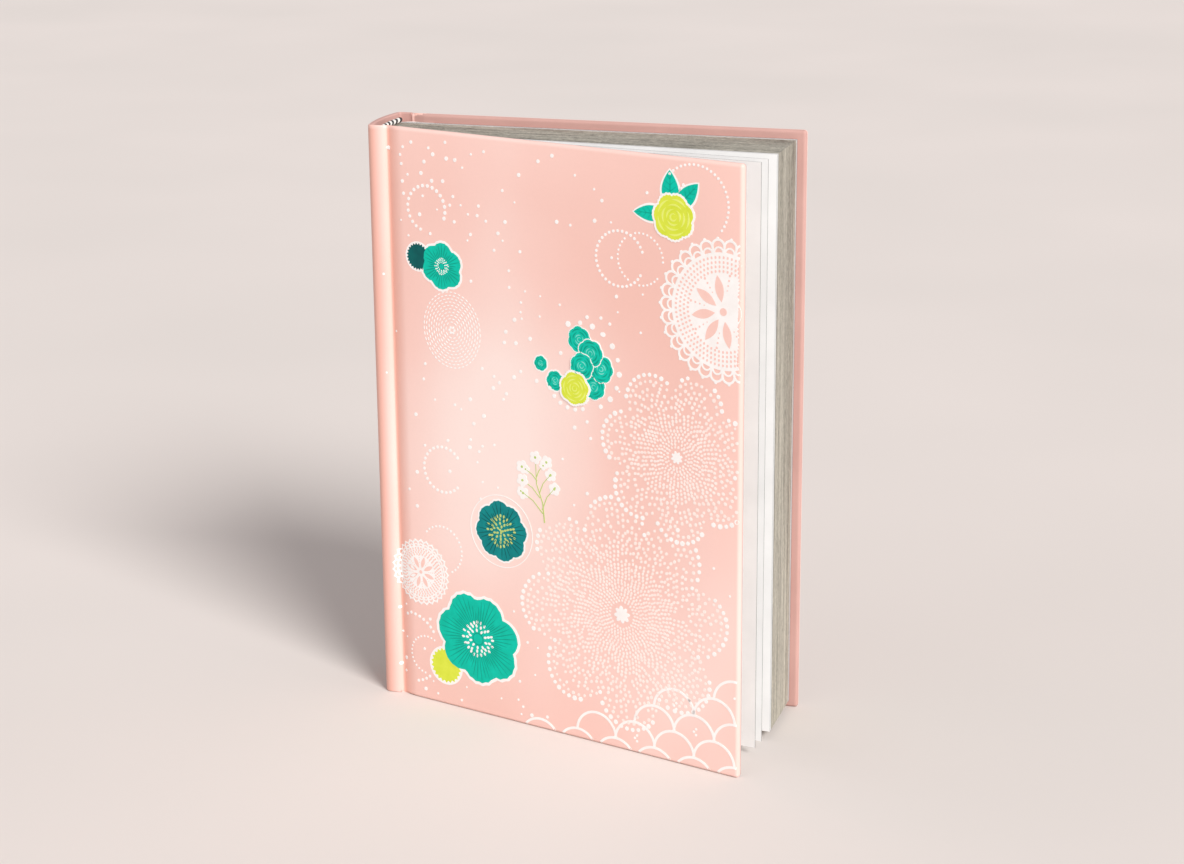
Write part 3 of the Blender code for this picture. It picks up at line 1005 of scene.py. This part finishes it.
def rose(art, u, v, radius, turn=0.0, halo=0.8, bud=False):
    """A double rose: a lobed outline with rows of curled petals inside. A bud is teal."""
    ink, inner, outer = "lime", "lime_line", "lime_line"
    if bud:
        ink, inner, outer = "teal", "teal_light", "teal_line"
    edge = petal_edge(radius, 7, turn, 0.10, 0.02)
    art.blob(u, v, lambda a: edge(a) + halo, "white", HALO)
    art.blob(u, v, edge, ink, COLOUR)
    widths = [0.05 + radius * 0.085 * math.sin(math.pi * i / 8) for i in range(9)]
    for share, petals in ((0.16, 1), (0.34, 3), (0.55, 4), (0.78, 5)):
        for i in range(petals):
            start = 360 * i / petals + 210 * share + math.degrees(turn)
            petal = arc_points(u, v, radius * share, start, start + 300 / petals, 8)
            art.stroke(petal, widths, outer if share > 0.5 else inner, DETAIL)
    art.keep(u, v, radius + 1.4)


def dotted_medallion(art, u, v, radius, petals, turn, dense=0.5):
    """A blossom drawn in dots: short dashes near the eye, growing and spreading into round petals."""
    draw = random.Random(int(u * 10 + v))
    art.blob(u, v, petal_edge(radius * 0.075, 8, turn, 0.4, 0.03), "white", COLOUR, 48)
    art.keep(u, v, radius * 0.085)

    def petal_reach(angle):
        """How far the petals' edge is from the eye in that direction."""
        return radius * (0.76 + 0.24 * abs(math.cos(petals * (angle - turn) / 2)) ** 0.7)

    def try_dot(angle, rho, size, stretch, ink):
        spot = polar(u, v, rho, angle)
        if art.clear(*spot, size):
            art.dot(*spot, size, ink, COLOUR, 7, stretch, angle + draw.uniform(-0.4, 0.4))
            art.keep(*spot, size + 0.12)

    steps = round(2.2 * math.pi * radius / petals / 2.6)
    for axis in around(petals, 0.0, turn):
        for k in range(steps + 1):
            angle = axis + 2 * math.pi / petals * (k / steps - 0.5)
            rim = petal_reach(angle)
            try_dot(angle, rim, draw.uniform(0.72, 1.0), 1.0, "white")
            try_dot(angle + 0.02, rim - 2.3, draw.uniform(0.5, 0.75), 1.0, "pale")
    rho = radius * 0.12
    while rho < radius:
        share = rho / radius
        spacing = 1.30 + 1.15 * share ** 2
        keep_share = 1.0 if share < dense else 0.78
        count = round(2 * math.pi * rho / spacing)
        for step in around(count, draw.uniform(0, spacing)):
            angle = step + draw.uniform(-0.25, 0.25) / count
            swell = rho * (1 + 0.16 * share * math.cos(petals * (angle - turn)))
            if swell > petal_reach(angle) - 3.0:
                continue
            size = draw.uniform(0.30, 0.40) + 0.26 * min(1.0, share / 0.8)
            if draw.random() < keep_share:
                try_dot(angle, swell + draw.uniform(-0.15, 0.15), size, 1.45 - 0.4 * share, "pale")
        rho += spacing * 0.9


def tear(u, v, axis, start, end, half):
    """A leaf-shaped outline that points away from (u, v)."""
    side = [(start + (end - start) * s, half * math.sin(math.pi * s) ** 0.9) for s in spread(0, 1, 8)]
    return mirrored(framed(u, v, axis), side, 1)


def lace_doily(art, u, v, radius, turn=0.2, line=0.8):
    """Crocheted lace: a close middle pierced with leaves and eyelets, then loops and picots."""
    body, cut = radius * 0.80, COLOUR + 0.01
    rounds = math.ceil(body / 1.15)
    for i in range(rounds):
        wide = body / rounds + 0.12
        ring(art, u, v, body * (i + 0.5) / rounds, wide, "white", COLOUR - 0.015, 24 + 3 * i)
    art.shape("ground", [polar(u, v, radius * 0.055, a) for a in around(12)], cut)
    for axis in around(8, 0.0, turn):
        art.shape("ground", tear(u, v, axis, radius * 0.13, radius * 0.50, radius * 0.066), cut)
        for share, size in ((0.30, 0.010), (0.37, 0.013), (0.44, 0.016), (0.51, 0.019)):
            spot = polar(u, v, radius * share, axis + math.pi / 8)
            art.dot(*spot, max(0.2, radius * size), "ground", cut)
    pitch = max(1.25, radius * 0.062)
    for row, share in enumerate((0.55, 0.61, 0.67, 0.735)):
        for angle in around(round(2 * math.pi * radius * share / pitch), 0.5 * (row % 2)):
            spot = polar(u, v, radius * share, angle)
            art.dot(*spot, pitch * 0.27, "ground", cut, 7, 1.25, angle)
    half = math.pi / 30
    size = radius * 0.88 * half
    for angle in around(30, 0.0, turn):
        art.stroke([polar(u, v, rho, angle + half) for rho in (body * 0.98, radius * 0.90)], line)
        way = math.degrees(angle)
        loop = arc_points(*polar(u, v, radius * 0.88, angle), size, way - 100, way + 100, 10)
        art.stroke(loop, line)
        loop = arc_points(*polar(u, v, body, angle), size * 0.75, way - 95, way + 95, 8)
        art.stroke(loop, line * 0.8)
        art.dot(*polar(u, v, radius * 0.88 + size + line * 0.5, angle), line * 0.72)
    art.keep(u, v, radius + 1.5)


def woven_oval(art, u, v, across, up):
    """Rings of short dashes, as if embroidered, round a small flower."""
    for row in range(10):
        share = 0.2 + 0.082 * row
        length = 2 * math.pi * math.sqrt((across ** 2 + up ** 2) / 2) * share
        count = max(8, round(length / 1.9))
        for a in around(count, 0.5 * (row % 2)):
            turns = [a + 2 * math.pi / count * s for s in (0.0, 0.3, 0.6)]
            dash = [(u + across * share * math.cos(t), v + up * share * math.sin(t)) for t in turns]
            art.stroke(dash, [0.22, 0.42, 0.22])
    for angle in around(6):
        art.dot(*polar(u, v, 1.1, angle), 0.5)
    art.keep(u, v, max(across, up) + 1.2)


def sprig(art, u, v, height, degrees):
    """A stem that forks, with small white blossoms at its tips. Points are shares of its height."""
    frame_at = framed(u, v, math.radians(degrees))

    def at(along, across=0.0):
        return frame_at(along * height, -across * height)

    def bough(width, *points):
        widths = [width * (1 - 0.6 * i / (len(points) - 1)) for i in range(len(points))]
        art.stroke([at(*p) for p in points], widths, "leaf_green", COLOUR)

    bough(0.5, (0, 0), (0.3, 0.03), (0.6, -0.02), (0.97, 0.04))
    tips = [(1.0, 0.04)]
    for start, reach in (
        (0.14, -0.46), (0.2, 0.42), (0.38, -0.36), (0.45, 0.34), (0.64, -0.24), (0.7, 0.22),
    ):
        middle = (start + abs(reach) * 0.45, reach * 0.30)
        end = (start + abs(reach) * 0.78, reach * 0.72)
        fork = (middle[0] + 0.12, middle[1] + math.copysign(0.16, reach))
        bough(0.4, (start, 0), middle, end)
        bough(0.28, middle, fork)
        tips += [end, fork]
    for i, tip in enumerate(tips):
        size = height * (0.075 if i % 2 else 0.105)
        art.blob(*at(*tip), petal_edge(size, 5, i, 0.3, 0.0), "white", COLOUR, 40)
        art.dot(*at(*tip), size * 0.2, "leaf_green", DETAIL)
    art.keep(*at(0.55), height * 0.6)


def scale_pattern(art, first_u, rows, low_centre=-4.5):
    """Overlapping scales. rows gives, from the bottom, where each row starts and ends."""
    pitch = 16.3
    for row, (start, end) in enumerate(rows):
        v = low_centre + 8.0 * row
        shift = pitch / 2 * (row % 2)
        k = math.ceil((start - first_u - shift) / pitch)
        while first_u + shift + pitch * k <= end:
            u = first_u + shift + pitch * k
            art.stroke(arc_points(u, v, 8.3, 0, 180, 28), 0.95)
            if row and (k + row) % 3 == 0:
                for i in range(1, 4):
                    art.dot(u + 0.9 * (i % 2), v + 1.1 * i, 0.5)
            k += 1


def scatter(art, count, sizes, zones, seed):
    """Loose dots. Each zone is (low u, high u, low v, high v, weight)."""
    draw = random.Random(seed)
    weights = [zone[4] for zone in zones]
    for _ in range(count):
        low_u, high_u, low_v, high_v, _ = draw.choices(zones, weights)[0]
        spot = (draw.uniform(low_u, high_u), draw.uniform(low_v, high_v))
        size = draw.uniform(*sizes)
        if art.clear(*spot, size + 0.6):
            art.dot(*spot, size)
            art.keep(*spot, size + 0.8)


def print_front():
    art = Artwork("front", cover_face, -3.2, FORE_EDGE - 0.15)
    lace_doily(art, 139, 166, 25.0)
    lace_doily(art, 10, 50.5, 12.6, 0.5, 0.55)
    serrated_disc(art, 12.7, 170.2, 5.0, "deep_teal")
    flower(art, 23.2, 167.8, 8.6, "teal", 6, 0.4, 2.9, 6)
    serrated_disc(art, 20.6, 15.6, 6.9, "lime", 22)
    flower(art, 35.6, 29.2, 17.6, "teal", 7, 0.25, 6.6, 9, 1.2)
    flower(art, 47.0, 73.0, 11.2, "sea_teal", 8, 0.9, 5.9, 5, 0.7, True)
    ring(art, 47.0, 73.0, 13.6, 0.28)
    leaf(art, 118.5, 199.0, 12.5, 6.6, 92)
    leaf(art, 121.0, 199.0, 12.0, 6.0, 48)
    leaf(art, 116.5, 196.4, 12.5, 5.4, 181)
    art.raised = 0.09
    rose(art, 119.6, 195.8, 7.7, turn=0.3)
    art.raised = 0.0
    for bud_u, bud_v, size in (
        (81.6, 148.9, 4.7), (87.4, 132.8, 4.6), (90.6, 139.6, 4.9), (86.2, 144.6, 5.0),
        (82.6, 139.6, 4.7),
    ):
        rose(art, bud_u, bud_v, size, bud_u, 0.35, True)
        art.raised += 0.05
    rose(art, 79.6, 131.2, 5.8, 1.0)
    art.raised = 0.0
    rose(art, 71.3, 132.7, 3.6, 0.4, 0.6, True)
    rose(art, 65.3, 138.2, 2.7, 1.4, 0.5, True)
    for degrees in range(-60, 130, 19):
        art.dot(*polar(82.5, 139.5, 15.4, math.radians(degrees)), 0.85 + 0.25 * (degrees % 2))
    for degrees in range(205, 300, 17):
        art.dot(*polar(79.0, 134.5, 11.0, math.radians(degrees)), 0.8)
    woven_oval(art, 27.0, 145.0, 13.2, 14.8)
    sprig(art, 66.0, 79.6, 24.0, 101)
    dotted_medallion(art, 121.0, 112.7, 30.5, 7, 0.3)
    dotted_medallion(art, 98.5, 51.3, 43.0, 8, 0.1, 0.46)
    for arc in (
        (17.0, 188.0, 8.2, -20, 265, 0.75, 2.1, 0.8),
        (127.5, 201.0, 13.2, -140, 150, 0.5, 1.7),
        (98.3, 179.3, 9.6, 20, 340, 0.55, 1.8),
        (106.5, 180.0, 9.0, 0, 360, 0.42, 1.6),
        (21.5, 92.0, 8.6, 40, 330, 0.6, 2.0),
        (20.0, 61.0, 9.0, -60, 150, 0.45, 1.7),
        (4.0, 20.0, 13.6, -75, 95, 0.62, 2.0),
        (12.0, 18.0, 7.4, 0, 360, 0.42, 1.6),
    ):
        dotted_arc(art, *arc)
    scale_pattern(art, 63.0, ((60, 150), (80, 146), (105, 150), (118, 146), (137, 150)))
    scatter(art, 300, (0.38, 0.80), (
        (4, 50, 175, 213, 4), (-3, 12, 100, 210, 1), (50, 135, 150, 213, 3), (30, 100, 85, 165, 4),
        (4, 45, 76, 132, 2), (-3, 30, 2, 45, 4), (30, 80, 2, 48, 2), (4, 144, 4, 212, 2),
    ), 5)
    art.objects(open_front, lambda piece: bend_cover(piece))


def print_spine():
    art = Artwork("spine", spine_face, 3.2, THICKNESS - 3.2)
    dotted_arc(art, 9.0, 188.0, 9.5, -70, 70, 0.6, 2.1)
    dotted_medallion(art, 17.0, 152.0, 11.5, 6, 0.4, 0.55)
    serrated_disc(art, 11.5, 121.5, 4.2, "deep_teal", 20)
    flower(art, 17.5, 116.5, 7.6, "teal", 6, 0.3, 2.7, 6)
    dotted_arc(art, 15.0, 92.0, 10.5, 0, 360, 0.55, 1.9)
    lace_doily(art, 15.2, 62.0, 10.6, 0.3, 0.5)
    flower(art, 14.5, 34.0, 8.4, "sea_teal", 8, 0.5, 4.2, 5, 0.7, True)
    rose(art, 21.5, 27.0, 3.4, halo=0.6)
    scale_pattern(art, 15.2, ((-5, 40), (0, 40)), -1.0)
    scatter(art, 90, (0.4, 0.75), ((3.5, 27, 3, 213, 1), (3.5, 27, 3, 80, 1)), 8)
    art.objects(None, lambda piece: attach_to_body(piece, "book_block"))


def print_back():
    art = Artwork("back", cover_face, -3.2, FORE_EDGE - 0.15)
    lace_doily(art, 30.0, 176.0, 24.0, 0.1)
    flower(art, 112.0, 178.0, 15.5, "teal", 7, 0.5, 6.0, 9, 1.1)
    serrated_disc(art, 125.5, 165.0, 6.2, "lime", 22)
    flower(art, 84.0, 120.0, 11.4, "sea_teal", 8, 0.2, 5.8, 5, 0.7, True)
    ring(art, 84.0, 120.0, 13.9, 0.28)
    leaf(art, 22.5, 98.5, 12.0, 6.2, 122)
    leaf(art, 26.0, 98.0, 12.0, 5.6, 60)
    art.raised = 0.09
    rose(art, 24.0, 95.0, 7.6, turn=0.7)
    art.raised = 0.0
    serrated_disc(art, 111.0, 44.5, 5.0, "deep_teal")
    flower(art, 121.0, 40.0, 9.0, "teal", 6, 0.1, 3.0, 6)
    woven_oval(art, 125.0, 88.0, 14.0, 13.0)
    sprig(art, 66.0, 84.0, 22.0, 70)
    dotted_medallion(art, 70.0, 168.0, 22.0, 7, 0.2)
    dotted_medallion(art, 46.0, 45.0, 38.0, 8, 0.4, 0.46)
    for arc in (
        (127.0, 130.0, 9.0, 0, 300, 0.55, 1.9),
        (91.0, 68.0, 8.0, 40, 330, 0.6, 2.0),
        (96.0, 202.0, 8.0, 0, 300, 0.5, 1.8),
    ):
        dotted_arc(art, *arc)
    scale_pattern(art, 63.0, ((85, 150), (96, 146), (121, 150), (134, 146)))
    scatter(art, 150, (0.5, 0.85), ((4, 144, 4, 212, 1),), 9)
    art.objects(to_back, lambda piece: bend_cover(piece))


# ---- the studio

def make_stage():
    m = Nodes("studio_floor", True)
    tone = m.ramp(m.noise(3.0, 2.0), (0.3, (220, 213, 208)), (0.7, (226, 218, 213)))
    material = m.finish(tone, m.remap(m.noise(300.0), 0.85, 0.95), m.noise(800.0), 0.02, 0.2)
    bpy.ops.mesh.primitive_plane_add(size=40.0, location=(0, 0, 0))
    floor = bpy.context.object
    floor.name = "studio_floor"
    floor.data.materials.append(material)
    world = bpy.data.worlds.new("studio_world")
    bpy.context.scene.world = world
    world.use_nodes = True
    shade = world.node_tree.nodes["Background"]
    shade.inputs["Color"].default_value = srgb(240, 236, 238)
    shade.inputs["Strength"].default_value = 0.5


def add_sun(name, place, strength, spread, colour):
    """A soft, far light that shines from that direction onto the book."""
    light = bpy.data.lights.new(name, "SUN")
    light.energy = strength
    light.angle = math.radians(spread)
    light.color = colour
    lamp = bpy.data.objects.new(name, light)
    bpy.context.scene.collection.objects.link(lamp)
    lamp.location = place
    lamp.rotation_euler = (-Vector(place)).to_track_quat("-Z", "Y").to_euler()


def make_lights():
    add_sun("key", (0.9, -0.8, 0.85), 3.35, 24, (1.0, 0.985, 0.97))
    add_sun("fill", (-0.8, -0.9, 0.7), 0.15, 40, (1.0, 0.97, 0.97))


def make_camera():
    """The photograph's viewpoint: from the front right of the closed book, looking down on it."""
    data = bpy.data.cameras.new("photo_view")
    data.sensor_width = 36.0
    data.lens = 76.8
    data.clip_start = 0.05
    camera = bpy.data.objects.new("photo_view", data)
    bpy.context.scene.collection.objects.link(camera)
    camera.location = metres((333.6, -826.3, 365.0))
    yaw, pitch, roll = math.radians(17.343), math.radians(16.474), math.radians(-0.474)
    camera.rotation_mode = "XYZ"
    level = math.cos(pitch)
    ahead = Vector((-math.sin(yaw) * level, math.cos(yaw) * level, -math.sin(pitch)))
    right = Vector((math.cos(yaw), math.sin(yaw), 0.0))
    up = right.cross(ahead)
    across = math.cos(roll) * right + math.sin(roll) * up
    above = -math.sin(roll) * right + math.cos(roll) * up
    turn = Matrix((across, above, -ahead)).transposed()
    camera.rotation_euler = turn.to_euler()
    bpy.context.scene.camera = camera
    bpy.context.scene.view_settings.view_transform = "Standard"


make_cover_covering("front")
make_cover_covering("back")
make_spine_covering()
make_leaves()
make_sections()
make_band("headband", LEAF_TOP + BAND / 2 + 0.15)
make_band("tailband", LEAF_BOTTOM - BAND / 2 - 0.15)
make_gutter("front")
make_gutter("back")
dress_cad_nodes()
print_front()
print_spine()
print_back()
make_stage()
make_lights()
make_camera()
